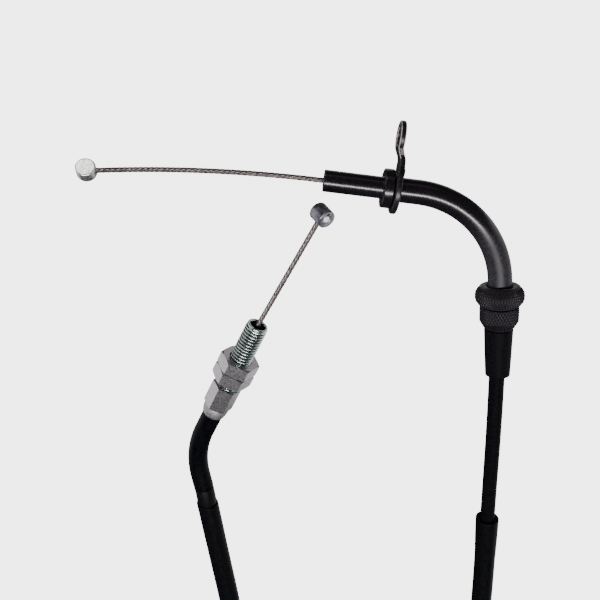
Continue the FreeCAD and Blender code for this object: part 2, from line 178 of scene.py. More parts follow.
def coil_points():
    """The turns, from the carburettor side's upper layer down to the throttle side's lower one."""
    step = (COIL_TO_DEG - COIL_FROM_DEG) / COIL_STEPS
    control_r = COIL_R / math.cos(math.radians(step / 2.0))
    points = []
    for i in range(COIL_STEPS + 1):
        degrees = COIL_FROM_DEG + step * i
        fall = smooth((degrees - DESCENT_FROM_DEG) / (DESCENT_TO_DEG - DESCENT_FROM_DEG))
        a = math.radians(degrees)
        points.append((COIL_CENTRE[0] + control_r * math.cos(a), COIL_CENTRE[1] + control_r * math.sin(a),
                       COIL_HIGH + (COIL_LOW - COIL_HIGH) * fall))
    return points


def housing_route():
    sleeve_run = (Vector(THROTTLE_SLEEVE_ROUTE[1]) - Vector(THROTTLE_SLEEVE_ROUTE[0])).normalized()
    inside = Vector(THROTTLE_SLEEVE_ROUTE[0]) + sleeve_run * OVERLAP_IN_SLEEVE
    return [knob_point(HOUSING_START), knob_point(HOUSING_TURN_AT), THROTTLE_SLEEVE_ROUTE[0], inside]


HOUSING_ROUTE = housing_route()
SLEEVE_ROUTE = CARB_SLEEVE_ROUTE + coil_points() + THROTTLE_SLEEVE_ROUTE[::-1]
housing_cord = nurbs("covered_cable", HOUSING_ROUTE, JACKET_R)
sleeve_cord = nurbs("sleeve", SLEEVE_ROUTE, SLEEVE_R)
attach(housing_cord, "cable")
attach(sleeve_cord, "cable")
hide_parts("housing_jacket", "housing_conduit", "housing_liner", "inner_wire_housing")
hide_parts("sleeve_throttle_side", "sleeve_carb_side", "cable_coil")

# ---------------------------------------------------------------- materials

CLOUD_DETAIL = 5.0
CLOUD_LOW = 0.3
CLOUD_HIGH = 0.7
RAMP_LOW = 0.35
RAMP_HIGH = 0.65
RELIEF_STRENGTH = 0.6
WEAR_FROM_Y = -4.0
WEAR_TO_Y = -16.0
WEAR_GRAIN = 1300.0
GLOSS_TONES = ((0.004, 0.003, 0.005), (0.008, 0.005, 0.008))
SATIN_TONES = ((0.011, 0.0095, 0.013), (0.023, 0.0195, 0.025))
GLOSS_ROUGH = (0.19, 0.27)
SATIN_ROUGH = (0.40, 0.52)
GLOSS_SPECULAR = (0.45, 0.45)
SATIN_SPECULAR = (0.18, 0.26)


def new_material(name):
    made = bpy.data.materials.new(name)
    made.use_nodes = True
    return made, made.node_tree, made.node_tree.nodes["Principled BSDF"]


def noise(tree, scale, detail=4.0):
    """Noise in the object's own coordinates."""
    coordinates = tree.nodes.new("ShaderNodeTexCoord")
    texture = tree.nodes.new("ShaderNodeTexNoise")
    texture.inputs["Scale"].default_value = scale
    texture.inputs["Detail"].default_value = detail
    tree.links.new(coordinates.outputs["Object"], texture.inputs["Vector"])
    return texture.outputs["Fac"]


def span(tree, value, low, high):
    """A 0 to 1 value spread between low and high."""
    node = tree.nodes.new("ShaderNodeMapRange")
    node.inputs["From Min"].default_value = CLOUD_LOW
    node.inputs["From Max"].default_value = CLOUD_HIGH
    node.inputs["To Min"].default_value = low
    node.inputs["To Max"].default_value = high
    tree.links.new(value, node.inputs["Value"])
    return node.outputs["Result"]


def two_colours(tree, value, first, second):
    node = tree.nodes.new("ShaderNodeValToRGB")
    node.color_ramp.elements[0].position = RAMP_LOW
    node.color_ramp.elements[0].color = (*first, 1.0)
    node.color_ramp.elements[1].position = RAMP_HIGH
    node.color_ramp.elements[1].color = (*second, 1.0)
    tree.links.new(value, node.inputs["Fac"])
    return node.outputs["Color"]


def bump(tree, shader, height, distance):
    node = tree.nodes.new("ShaderNodeBump")
    node.inputs["Strength"].default_value = RELIEF_STRENGTH
    node.inputs["Distance"].default_value = distance
    tree.links.new(height, node.inputs["Height"])
    tree.links.new(node.outputs["Normal"], shader.inputs["Normal"])


def surface(name, dark, light, rough, metal=0.0, specular=0.5, grain=900.0, relief=0.0, relief_grain=2500.0):
    """Mottled colour and roughness, with an optional fine relief."""
    made, tree, shader = new_material(name)
    cloud = noise(tree, grain, CLOUD_DETAIL)
    tree.links.new(two_colours(tree, cloud, dark, light), shader.inputs["Base Color"])
    tree.links.new(span(tree, cloud, rough[0], rough[1]), shader.inputs["Roughness"])
    shader.inputs["Metallic"].default_value = metal
    shader.inputs["Specular IOR Level"].default_value = specular
    if relief:
        bump(tree, shader, noise(tree, relief_grain), relief)
    return made


def worn_gloss(name):
    """Black paint that is glossy on the straight pipe and turns satin and mottled round the elbow."""
    made, tree, shader = new_material(name)
    coordinates = tree.nodes.new("ShaderNodeTexCoord")
    split = tree.nodes.new("ShaderNodeSeparateXYZ")
    tree.links.new(coordinates.outputs["Object"], split.inputs["Vector"])
    worn = tree.nodes.new("ShaderNodeMapRange")
    worn.interpolation_type = "SMOOTHSTEP"
    worn.inputs["From Min"].default_value = WEAR_FROM_Y * MM
    worn.inputs["From Max"].default_value = WEAR_TO_Y * MM
    tree.links.new(split.outputs["Y"], worn.inputs["Value"])
    cloud = noise(tree, WEAR_GRAIN, CLOUD_DETAIL)
    for socket, glossy, satin in (("Roughness", GLOSS_ROUGH, SATIN_ROUGH),
                                  ("Specular IOR Level", GLOSS_SPECULAR, SATIN_SPECULAR)):
        mix = tree.nodes.new("ShaderNodeMix")
        mix.data_type = "FLOAT"
        tree.links.new(worn.outputs["Result"], mix.inputs[0])
        tree.links.new(span(tree, cloud, *glossy), mix.inputs[2])
        tree.links.new(span(tree, cloud, *satin), mix.inputs[3])
        tree.links.new(mix.outputs[0], shader.inputs[socket])
    mix = tree.nodes.new("ShaderNodeMix")
    mix.data_type = "RGBA"
    tree.links.new(worn.outputs["Result"], mix.inputs[0])
    tree.links.new(two_colours(tree, cloud, *GLOSS_TONES), mix.inputs[6])
    tree.links.new(two_colours(tree, cloud, *SATIN_TONES), mix.inputs[7])
    tree.links.new(mix.outputs[2], shader.inputs["Base Color"])
    return made


def knurl_black(name, specular):
    return surface(name, (0.004, 0.003, 0.005), (0.009, 0.006, 0.010), (0.36, 0.50), specular=specular)


def hazy(made):
    """Dust in the grooves, which shows as a faint sheen."""
    shader = made.node_tree.nodes["Principled BSDF"]
    shader.inputs["Sheen Weight"].default_value = 0.3
    shader.inputs["Sheen Roughness"].default_value = 0.35
    return made


def soft_black(name, rough, specular, **relief):
    """Deep black vinyl or plastic."""
    return surface(name, (0.002, 0.002, 0.003), (0.004, 0.004, 0.005), rough, specular=specular, **relief)


GLOSS_BLACK = worn_gloss("gloss_black")
PLATE_BLACK = surface("plate_black", (0.005, 0.003, 0.005), (0.012, 0.009, 0.012), (0.28, 0.40),
                      specular=0.35)
# Pale metal for the eye's bevelled rims: a painted highlight along them.
PLATE_EDGE_HIGHLIGHT = surface("plate_edge_highlight", (0.40, 0.33, 0.34), (0.50, 0.42, 0.43), (0.45, 0.6), metal=0.6)
KNURL_BLACK = knurl_black("knurl_black", 0.14)
RING_BLACK = hazy(knurl_black("ring_black", 0.16))
PIPE_BLACK = surface("pipe_black", (0.001, 0.001, 0.002), (0.003, 0.003, 0.004), (0.34, 0.44), specular=0.03)
RUBBER = surface("rubber", (0.002, 0.0015, 0.0025), (0.005, 0.004, 0.006), (0.5, 0.65), specular=0.03,
                 relief=0.00003)
JACKET = soft_black("jacket", (0.42, 0.52), 0.015)
SLEEVE = soft_black("sleeve", (0.36, 0.46), 0.025, relief=0.00002, relief_grain=900.0)
BUSH_BLACK = soft_black("bush_black", (0.38, 0.48), 0.05)
TIE_BLACK = surface("tie_black", (0.006, 0.006, 0.006), (0.009, 0.009, 0.009), (0.4, 0.55), specular=0.3)
LINER_WHITE = surface("liner_white", (0.7, 0.7, 0.66), (0.8, 0.8, 0.76), (0.4, 0.5))
ZINC = surface("zinc", (0.30, 0.28, 0.30), (0.44, 0.415, 0.435), (0.24, 0.30), metal=0.95, grain=1500.0,
               relief=0.00001)
ZINC_TAIL = surface("zinc_tail", (0.27, 0.25, 0.265), (0.40, 0.375, 0.39), (0.5, 0.6), metal=0.95,
                    grain=1500.0)
THREAD_ZINC = surface("thread_zinc", (0.42, 0.50, 0.48), (0.62, 0.69, 0.67), (0.24, 0.32), metal=1.0,
                      grain=500.0)
# Near-black painted shade for the thread's grooves and for the pit in the carb nipple's face.
PAINTED_SHADE_BLACK = surface("painted_shade_black", (0.012, 0.018, 0.018), (0.035, 0.045, 0.045), (0.35, 0.5), metal=0.6)
STRAND_STEEL = surface("strand_steel", (0.07, 0.058, 0.058), (0.165, 0.142, 0.137), (0.34, 0.48), metal=0.85,
                       grain=1100.0)
# Each cast nipple has a lighter copy for its end face and a darker copy for its sides: painted light and
# shade on one metal.
CAST_BRIGHT_LIT_FACE = surface("cast_bright_lit_face", (0.86, 0.85, 0.81), (0.97, 0.97, 0.95), (0.24, 0.36), metal=0.9,
                      relief=0.0002, relief_grain=700.0)
CAST_BRIGHT_SHADED_SIDE = surface("cast_bright_shaded_side", (0.16, 0.16, 0.165), (0.42, 0.42, 0.43), (0.25, 0.38), metal=0.75,
                    grain=700.0, relief=0.00006, relief_grain=900.0)
CAST_DARK_SHADED_SIDE = surface("cast_dark_shaded_side", (0.045, 0.04, 0.06), (0.20, 0.185, 0.225), (0.28, 0.42), metal=0.7,
                    grain=420.0, relief=0.00006, relief_grain=1500.0)
CAST_DARK_LIT_FACE = surface("cast_dark_lit_face", (0.11, 0.10, 0.13), (0.32, 0.30, 0.335), (0.28, 0.42), metal=0.7,
                    grain=420.0)
SOLDER = surface("solder", (0.80, 0.80, 0.78), (0.92, 0.92, 0.90), (0.35, 0.5), metal=0.3)


def dress(obj, material):
    obj.data.materials.clear()
    obj.data.materials.append(material)
    return obj


dress(housing_cord, JACKET)
dress(sleeve_cord, SLEEVE)

# ---------------------------------------------------------------- round meshes along a line

SAME_PLACE = 1e-7
NO_LENGTH = 1e-8


def across(along):
    """Two directions square to a line: one level, and one as near to upright as it can be."""
    side = along.cross(UP).normalized()
    return side, side.cross(along).normalized()


def line_path(start, direction):
    """Path that runs straight: distance to point and direction."""
    def at(s):
        return start + direction * s, direction
    return at


def elbow_path(s):
    if s <= PIPE_STRAIGHT:
        return Vector((s, 0, 0)), Vector((1, 0, 0))
    if s <= PIPE_STRAIGHT + BEND_LENGTH:
        a = (s - PIPE_STRAIGHT) / BEND_R
        return (Vector((PIPE_STRAIGHT + BEND_R * math.sin(a), -BEND_R * (1 - math.cos(a)), 0)),
                Vector((math.cos(a), -math.sin(a), 0)))
    return knob_point(s - PIPE_STRAIGHT - BEND_LENGTH), KNOB_AXIS


def rounded(outline, radius, steps=3):
    """Closed outline with its corners rounded; points are (distance, radius)."""
    result = []
    count = len(outline)
    for i in range(count):
        before = Vector(outline[i - 1])
        corner = Vector(outline[i])
        after = Vector(outline[(i + 1) % count])
        reach = min(radius, 0.45 * (before - corner).length, 0.45 * (after - corner).length)
        first = corner + (before - corner).normalized() * reach
        last = corner + (after - corner).normalized() * reach
        for k in range(steps + 1):
            t = k / steps
            point = first * (1 - t) ** 2 + corner * 2 * t * (1 - t) + last * t ** 2
            result.append((point.x, point.y))
    return result


def subdivided(outline, longest):
    result = []
    count = len(outline)
    for i in range(count):
        a = Vector(outline[i])
        b = Vector(outline[(i + 1) % count])
        pieces = max(1, math.ceil((b - a).length / longest))
        result += [tuple(a.lerp(b, k / pieces)) for k in range(pieces)]
    return result


def skin(name, path, outline, around=64, shape=None, sharp_deg=35.0):
    """Closed ring of surface: an outline of (distance, radius) points carried round a path, in millimetres.

    shape(angle, distance, radius) may change the radius, as a knurl or a thread does.
    """
    mesh = bmesh.new()
    layer = mesh.loops.layers.uv.new("UVMap")
    rows = []
    for s, r in outline:
        centre, along = path(s)
        side, top = across(along)
        row = []
        for k in range(around):
            a = 2.0 * math.pi * k / around
            radius = shape(a, s, r) if shape else r
            point = centre + side * radius * math.cos(a) + top * radius * math.sin(a)
            row.append(mesh.verts.new(point * MM))
        rows.append(row)
    for i, row in enumerate(rows):
        following = (i + 1) % len(rows)
        for k in range(around):
            nxt = (k + 1) % around
            face = mesh.faces.new((row[k], row[nxt], rows[following][nxt], rows[following][k]))
            corners = ((k, i), (k + 1, i), (k + 1, i + 1), (k, i + 1))
            for loop, (u, v) in zip(face.loops, corners):
                s = outline[v % len(outline)][0]
                loop[layer].uv = (u / around, s * MM)
    bmesh.ops.remove_doubles(mesh, verts=mesh.verts, dist=SAME_PLACE)
    return finish_mesh(name, mesh, sharp_deg)


def wall(start, end, bore, radius):
    """Outline of a plain tube: distance and radius of its four corners."""
    return [(start, bore), (start, radius), (end, radius), (end, bore)]


def bridge(mesh, rings, closed):
    """Faces between neighbouring rings of vertices; closed joins the last ring to the first."""
    following = rings[1:] + rings[:1] if closed else rings[1:]
    for ring, after in zip(rings, following):
        for k in range(len(ring)):
            nxt = (k + 1) % len(ring)
            mesh.faces.new((ring[k], ring[nxt], after[nxt], after[k]))


def finish_mesh(name, mesh, sharp_deg):
    """Object of a mesh with outward faces, smooth except at edges sharper than an angle."""
    bmesh.ops.recalc_face_normals(mesh, faces=mesh.faces)
    limit = math.radians(sharp_deg)
    for face in mesh.faces:
        face.smooth = True
    for edge in mesh.edges:
        edge.smooth = not (edge.is_manifold and edge.calc_face_angle(0.0) > limit)
    data = bpy.data.meshes.new(name)
    mesh.to_mesh(data)
    mesh.free()
    obj = bpy.data.objects.new(name, data)
    bpy.context.scene.collection.objects.link(obj)
    return obj


def piece(obj, body, material, *nodes):
    """The object rides on a body, gets its material, and hides the CAD nodes that it stands for."""
    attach(obj, body)
    dress(obj, material)
    if nodes:
        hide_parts(*nodes)
    return obj


# ---------------------------------------------------------------- guide pipe, collar and plate

MOUTH_R = 3.7
PIPE_R = 4.2
PIPE_BORE_R = 2.5
COLLAR_START = 19.9
COLLAR_LENGTH = 3.3
COLLAR_R = 6.6
COLLAR_ROUND = 0.5
COLLAR_OVERLAP = 0.6
PIPE_ROUND = 0.3
PIPE_END = PIPE_STRAIGHT + BEND_LENGTH + 11.6


def guide_pipe():
    outline = rounded([(0, PIPE_BORE_R), (0, MOUTH_R), (COLLAR_START, MOUTH_R), (COLLAR_START, PIPE_R),
                       (PIPE_END, PIPE_R), (PIPE_END, PIPE_BORE_R)], PIPE_ROUND)
    pipe = skin("guide_pipe_tube", elbow_path, subdivided(outline, 1.0), 72)
    piece(pipe, "cable", GLOSS_BLACK, "guide_pipe")


def pipe_collar():
    outline = wall(COLLAR_START, COLLAR_START + COLLAR_LENGTH, PIPE_R - COLLAR_OVERLAP, COLLAR_R)
    collar = skin("collar", elbow_path, rounded(outline, COLLAR_ROUND, 4), 96)
    piece(collar, "cable", GLOSS_BLACK, "pipe_collar")


PLATE_THICK = 1.9
PLATE_RING_R = 8.3
PLATE_HOLE_R = 4.28
PLATE_GAP = 0.2
PLATE_X = COLLAR_START + COLLAR_LENGTH + PLATE_GAP
EAR_JOGGLE = 0.55
EAR_BULGE = 0.75
BULGE_FROM = 2.6
BULGE_TO = 6.4
JOGGLE_FROM = 9.4
JOGGLE_TO = 14.0
EYE_DISTANCE = 17.2
EYE_R = 5.4
EYE_HOLE_R = 2.75
EAR_ROOT_HALF = 4.5
EAR_NECK_HALF = 2.9
EAR_NECK_AT = 11.2
EAR_CUTS = 26
RING_TRIM_DEG = 4.0
EYE_TRIM_DEG = 6.0
EAR_DROOP_DEG = -10.5
PLATE_ROUND = 0.5
PLATE_SHARP_DEG = 30.0
HIGHLIGHT_FROM = 10.5
HIGHLIGHT_NORMAL_LOW = 0.4
HIGHLIGHT_NORMAL_HIGH = 0.85


def circle_points(centre, radius, count, start=0.0, turn=360.0):
    return [(centre + radius * math.cos(math.radians(start + turn * i / count)),
             radius * math.sin(math.radians(start + turn * i / count))) for i in range(count)]


def plate_outline():
    """Ring, web and eye as one outline; the first coordinate runs out along the ear."""
    ring_deg = math.degrees(math.asin(EAR_ROOT_HALF / PLATE_RING_R)) - RING_TRIM_DEG
    eye_deg = math.degrees(math.asin(EAR_NECK_HALF / EYE_R)) + EYE_TRIM_DEG
    ring = circle_points(0.0, PLATE_RING_R, 64, ring_deg, 360.0 - 2.0 * ring_deg)
    eye = circle_points(EYE_DISTANCE, EYE_R, 48, eye_deg - 180.0, 360.0 - 2.0 * eye_deg)
    return ring + [(EAR_NECK_AT, -EAR_NECK_HALF)] + eye + [(EAR_NECK_AT, EAR_NECK_HALF)]


def flat_plate():
    """Mesh of the plate before it is bent, with rounded edges and cuts where the ear will bend."""
    data = bpy.data.curves.new("plate_outline", "CURVE")
    data.dimensions = "2D"
    data.fill_mode = "BOTH"
    data.extrude = (PLATE_THICK / 2.0 - PLATE_ROUND) * MM
    data.bevel_depth = PLATE_ROUND * MM
    data.bevel_resolution = 3
    data.offset = -PLATE_ROUND * MM
    holes = [circle_points(0.0, PLATE_HOLE_R, 64), circle_points(EYE_DISTANCE, EYE_HOLE_R, 40)]
    for loop in [plate_outline()] + holes:
        spline = data.splines.new("POLY")
        spline.points.add(len(loop) - 1)
        for control, (u, v) in zip(spline.points, loop):
            control.co = (u * MM, v * MM, 0, 1)
        spline.use_cyclic_u = True
    flat = bpy.data.objects.new("plate_outline", data)
    mesh = bmesh.new()
    mesh.from_mesh(flat.to_mesh())
    flat.to_mesh_clear()
    bpy.data.objects.remove(flat)
    for i in range(EAR_CUTS + 1):
        at = BULGE_FROM + (JOGGLE_TO - BULGE_FROM) * i / EAR_CUTS
        everything = mesh.verts[:] + mesh.edges[:] + mesh.faces[:]
        bmesh.ops.bisect_plane(mesh, geom=everything, plane_co=(at * MM, 0, 0), plane_no=(1, 0, 0))
    return mesh


def retainer_plate():
    """The ear bulges out at its root, then joggles back to its eye, whose bevelled rims carry a pale painted
    highlight.
    """
    mesh = flat_plate()
    droop = Matrix.Rotation(math.radians(EAR_DROOP_DEG), 3, "X")
    for vertex in mesh.verts:
        u, v, w = vertex.co
        out = EAR_BULGE * smooth((u / MM - BULGE_FROM) / (BULGE_TO - BULGE_FROM))
        back = (EAR_BULGE + EAR_JOGGLE) * smooth((u / MM - JOGGLE_FROM) / (JOGGLE_TO - JOGGLE_FROM))
        x = (PLATE_X + PLATE_THICK / 2.0 + out - back) * MM + w
        vertex.co = droop @ Vector((x, u, v))
    bmesh.ops.remove_doubles(mesh, verts=mesh.verts, dist=SAME_PLACE)
    plate = finish_mesh("retainer_ear_plate", mesh, PLATE_SHARP_DEG)
    piece(plate, "retainer", PLATE_BLACK, "retainer_plate")
    plate.data.materials.append(PLATE_EDGE_HIGHLIGHT)
    # Bevelled faces out on the eye take the pale painted highlight.
    for polygon in plate.data.polygons:
        bevelled = HIGHLIGHT_NORMAL_LOW < abs(polygon.normal.x) < HIGHLIGHT_NORMAL_HIGH
        polygon.material_index = 1 if bevelled and polygon.center.y > HIGHLIGHT_FROM * MM else 0


# ---------------------------------------------------------------- knurled adjuster and boot

LOCK_RING_FROM = 0.6
LOCK_RING_TO = 8.0
LOCK_RING_R = 8.65
LOCK_RING_WIDE_FROM = 3.0
LOCK_RING_WIDE_TO = 5.8
LOCK_RING_TOP_FACE_R = 6.8
LOCK_RING_ROUND = 1.2
BARREL_FROM = 8.2
BARREL_TAPER = 13.7
BARREL_TO = 16.6
BARREL_R = 6.95
BARREL_END_R = 5.2
BARREL_ROUND = 0.5
THREAD_CLEARANCE = 0.06
KNURL_DEPTH = 0.42
KNURL_PITCH = 1.05
KNURL_STEP = KNURL_PITCH / 4.0
KNURL_HALF = 0.5
KNURL_REACH = 1.9
KNURL_FADE = 0.6
KNURL_POINTS = 8
KNURL_SHARP_DEG = 60.0


def knurl(radius, teeth):
    """Diamond knurl on the surfaces near a radius: two crossing sets of grooves."""
    def shape(angle, s, r):
        depth = KNURL_DEPTH * smooth((r - radius + KNURL_REACH) / KNURL_FADE)
        first = (teeth * angle / (2 * math.pi) + s / (2 * KNURL_PITCH)) % 1.0
        second = (teeth * angle / (2 * math.pi) - s / (2 * KNURL_PITCH)) % 1.0
        rise = min(abs(first - KNURL_HALF), abs(second - KNURL_HALF)) / KNURL_HALF
        return r - depth * (1.0 - rise)
    return shape


def knurled(name, outline, radius):
    teeth = round(2 * math.pi * radius / KNURL_PITCH)
    return skin(name, line_path(BEND_END, KNOB_AXIS), subdivided(outline, KNURL_STEP), teeth * KNURL_POINTS,
                knurl(radius, teeth), KNURL_SHARP_DEG)


def lock_ring():
    bore = PIPE_R + THREAD_CLEARANCE
    outline = rounded([(LOCK_RING_FROM, bore), (LOCK_RING_FROM, LOCK_RING_TOP_FACE_R),
                       (LOCK_RING_WIDE_FROM, LOCK_RING_R), (LOCK_RING_WIDE_TO, LOCK_RING_R),
                       (LOCK_RING_TO, BARREL_R + 0.1), (LOCK_RING_TO, bore)], LOCK_RING_ROUND, 6)
    piece(knurled("knurled_lock_ring", outline, LOCK_RING_R), "lock_ring", RING_BLACK, "lock_ring")


def adjuster_barrel():
    bore = PIPE_R + THREAD_CLEARANCE
    outline = rounded([(BARREL_FROM, bore), (BARREL_FROM, BARREL_R), (BARREL_TAPER, BARREL_R),
                       (BARREL_TO, BARREL_END_R), (BARREL_TO, bore)], BARREL_ROUND, 4)
    piece(knurled("knurled_barrel", outline, BARREL_R), "adjuster", KNURL_BLACK, "adjuster_barrel")


BOOT_FROM = 16.8
BOOT_TO = 35.2
BOOT_TOP_R = 5.15
BOOT_END_R = 4.35
BOOT_BORE_R = 3.3
BOOT_LIP_BORE_R = 3.65
BOOT_SOCKET_TO = 20.0
BOOT_SOCKET_R = 4.1
BOOT_ROUND = 0.32
BOOT_WAVE = 0.05


def boot_shape(angle, s, r):
    """A soft moulding: slightly out of round, with an uneven lower edge."""
    share = (s - BOOT_FROM) / (BOOT_TO - BOOT_FROM)
    return r + BOOT_WAVE * math.sin(2 * angle + 3 * share) + BOOT_WAVE * share * math.sin(5 * angle + 1.0)


def rubber_boot():
    outline = rounded([(BOOT_FROM, BOOT_SOCKET_R), (BOOT_FROM, BOOT_TOP_R), (BOOT_TO, BOOT_END_R),
                       (BOOT_TO, BOOT_LIP_BORE_R), (BOOT_SOCKET_TO, BOOT_BORE_R),
                       (BOOT_SOCKET_TO, BOOT_SOCKET_R)], BOOT_ROUND, 4)
    boot = skin("tapered_boot", line_path(BEND_END, KNOB_AXIS), subdivided(outline, 0.8), 72, boot_shape)
    piece(boot, "boot", RUBBER, "rubber_boot")


# ---------------------------------------------------------------- carburettor end

STUD_R = 4.0
STUD_LAND_R = 3.75
STUD_BORE_R = 2.8
THREAD_FROM = 0.35
THREAD_PITCH = 1.25
THREAD_DEPTH = 0.68
THREAD_ROWS = 12
THREAD_CREST_ROWS = 3
THREAD_ROOT_R = 3.66
THREAD_AROUND = 96
THREAD_SHARP_DEG = 50.0
STUD_IN_HEX = 0.3
HEX_FROM = 28.7
HEX_TO = 38.7
HEX_FLATS = 9.7
HEX_TURN_DEG = 57.5
TAIL_TO = 43.2
TAIL_R = 4.2
TAIL_BORE_R = 3.0
TAIL_BELLY = 0.55
TAIL_OVERLAP = 0.2
TAIL_ROUND = 0.6
NUT_FLATS = 13.0
NUT_THICK = 4.85
NUT_CLEARANCE = 0.05
NUT_FACE_R = NUT_FLATS / 2.0 + 0.15
NUTS = {"upper": (15.7, 58.5), "lower": (20.75, 61.0)}
NUT_CHAMFER_DEG = 30.0
HEX_AROUND = 720
HEX_ROWS = 8
HEX_BORE_ROUND = 0.3
HEX_BORE_R = 3.2
HEX_SHOULDER = 0.5
HEX_END_R = HEX_FLATS / 2.0 + 0.1
HEX_SHARP_DEG = 20.0
CARB_SIDE, CARB_TOP = across(CARB_DOWN)


def round_stud(angle, s, radius):
    """Place in metres at an angle and a radius about the fitting's axis."""
    return (carb_point(s) + CARB_SIDE * radius * math.cos(angle) + CARB_TOP * radius * math.sin(angle)) * MM


def thread_radius(row):
    """60 degree profile: a narrow crest, two flanks and a narrow root."""
    away = abs((row + THREAD_ROWS / 2.0) % THREAD_ROWS - THREAD_ROWS / 2.0) - THREAD_CREST_ROWS / 2.0
    share = min(1.0, max(0.0, away / (THREAD_ROWS / 2.0 - THREAD_CREST_ROWS)))
    return STUD_R - THREAD_DEPTH * share


def helicoid(mesh, start, end):
    """Right-handed thread between two distances; its rows climb one pitch in every turn."""
    turns = math.ceil((end - start) / THREAD_PITCH)
    rows = []
    for i in range(-THREAD_ROWS, turns * THREAD_ROWS + 1):
        row = []
        for k in range(THREAD_AROUND):
            s = start + THREAD_PITCH * (i / THREAD_ROWS + k / THREAD_AROUND)
            fade = smooth((s - start) / THREAD_PITCH) * smooth((end - s) / THREAD_PITCH)
            radius = STUD_LAND_R + (thread_radius(i) - STUD_LAND_R) * fade
            angle = -2.0 * math.pi * k / THREAD_AROUND
            row.append(mesh.verts.new(round_stud(angle, min(end, max(start, s)), radius)))
        rows.append(row)
    for i in range(len(rows) - 1):
        for k in range(THREAD_AROUND - 1):
            mesh.faces.new((rows[i][k], rows[i][k + 1], rows[i + 1][k + 1], rows[i + 1][k]))
        if i + 1 + THREAD_ROWS < len(rows):
            lower = rows[i + THREAD_ROWS][0]
            upper = rows[i + 1 + THREAD_ROWS][0]
            mesh.faces.new((rows[i][-1], lower, upper, rows[i + 1][-1]))


def stud_rim(end):
    """(distance, radius) from the thread's end up the bore, over the mouth's rounded rim, to the thread."""
    return [
        (end, STUD_LAND_R),
        (end, STUD_BORE_R),
        (0.5, STUD_BORE_R),
        (0.2, STUD_BORE_R + 0.1),
        (0.0, STUD_BORE_R + 0.3),
        (0.0, STUD_LAND_R - 0.3),
        (0.1, STUD_LAND_R - 0.1),
        (0.25, STUD_LAND_R),
        (THREAD_FROM, STUD_LAND_R),
    ]


def stud():
    """Threaded tube with a plain land at its mouth."""
    mesh = bmesh.new()
    mesh.loops.layers.uv.new("UVMap")
    end = HEX_FROM + STUD_IN_HEX
    helicoid(mesh, THREAD_FROM, end)
    angles = [-2.0 * math.pi * k / THREAD_AROUND for k in range(THREAD_AROUND)]
    rings = [[mesh.verts.new(round_stud(a, s, r)) for a in angles] for s, r in stud_rim(end)]
    bridge(mesh, rings, False)
    bmesh.ops.remove_doubles(mesh, verts=mesh.verts, dist=SAME_PLACE)
    bmesh.ops.dissolve_degenerate(mesh, edges=mesh.edges, dist=NO_LENGTH)
    made = finish_mesh("threaded_stud", mesh, THREAD_SHARP_DEG)
    piece(made, "cable", THREAD_ZINC, "carb_adjuster")
    # Faces below the root radius inside the thread take the near-black painted shade, darkening the grooves.
    made.data.materials.append(PAINTED_SHADE_BLACK)
    for polygon in made.data.polygons:
        out = polygon.center / MM - CARB_MOUTH
        radius = (out - CARB_DOWN * out.dot(CARB_DOWN)).length
        in_thread = THREAD_FROM + THREAD_PITCH / 2.0 < out.dot(CARB_DOWN)
        polygon.material_index = 1 if radius < THREAD_ROOT_R and in_thread else 0


def hex_radius(angle, flats, turn_deg):
    """Radius of a hexagon at an angle; its corners are turned backwards."""
    facings = [math.radians(60.0 * k + 30.0 - turn_deg) for k in range(6)]
    return flats / 2.0 / max(math.cos(angle - facing) for facing in facings)


def hex_bar(name, start, end, flats, turn_deg, hole, chamfer_low, chamfer_high):
    """Hexagon with turned chamfers: each end's cone starts at its own radius."""
    slope = math.tan(math.radians(NUT_CHAMFER_DEG))
    wide_hole = hole + HEX_BORE_ROUND
    mesh = bmesh.new()
    rows = [[] for _ in range(HEX_ROWS)]
    for k in range(HEX_AROUND):
        a = 2.0 * math.pi * k / HEX_AROUND
        wide = hex_radius(a, flats, turn_deg)
        low = start + max(0.0, wide - chamfer_low) * slope
        high = end - max(0.0, wide - chamfer_high) * slope
        profile = [(start + HEX_BORE_ROUND, hole), (start, wide_hole), (start, min(wide, chamfer_low)),
                   (low, wide), (high, wide), (end, min(wide, chamfer_high)), (end, wide_hole),
                   (end - HEX_BORE_ROUND, hole)]
        for row, (s, r) in zip(rows, profile):
            row.append(mesh.verts.new(round_stud(a, s, r)))
    bridge(mesh, rows, True)
    bmesh.ops.remove_doubles(mesh, verts=mesh.verts, dist=SAME_PLACE)
    return finish_mesh(name, mesh, HEX_SHARP_DEG)


def carb_fitting():
    corner = HEX_FLATS / math.sqrt(3.0)
    body = hex_bar("hex_body", HEX_FROM, HEX_TO, HEX_FLATS, HEX_TURN_DEG, HEX_BORE_R, corner - HEX_SHOULDER,
                   HEX_END_R)
    piece(body, "cable", ZINC)
    start = HEX_TO - TAIL_OVERLAP
    middle = (HEX_TO + TAIL_TO) / 2.0
    outline = rounded([(start, TAIL_BORE_R), (start, HEX_FLATS / 2.0), (middle, TAIL_R + TAIL_BELLY),
                       (TAIL_TO, TAIL_R), (TAIL_TO, TAIL_BORE_R)], TAIL_ROUND, 4)
    piece(skin("fitting_tail", line_path(CARB_MOUTH, CARB_DOWN), outline, 96), "cable", ZINC_TAIL)


def lock_nuts():
    for which, (start, turn) in NUTS.items():
        nut = hex_bar(f"{which}_hex_nut", start, start + NUT_THICK, NUT_FLATS, turn, STUD_R + NUT_CLEARANCE,
                      NUT_FACE_R, NUT_FACE_R)
        piece(nut, f"{which}_nut", ZINC, f"{which}_lock_nut")


CARB_PIPE_R = 3.85
CARB_PIPE_BORE_R = 2.85
CARB_PIPE_BEND_R = 34.0
CARB_PIPE_END = Vector((-31.0, -128.0, -4.9))
CARB_PIPE_FROM = TAIL_TO - 4.0
CARB_PIPE_ROUND = 0.35
BUSH_R = 3.8
BUSH_GAP = 0.1
BUSH_ROUND = 0.3


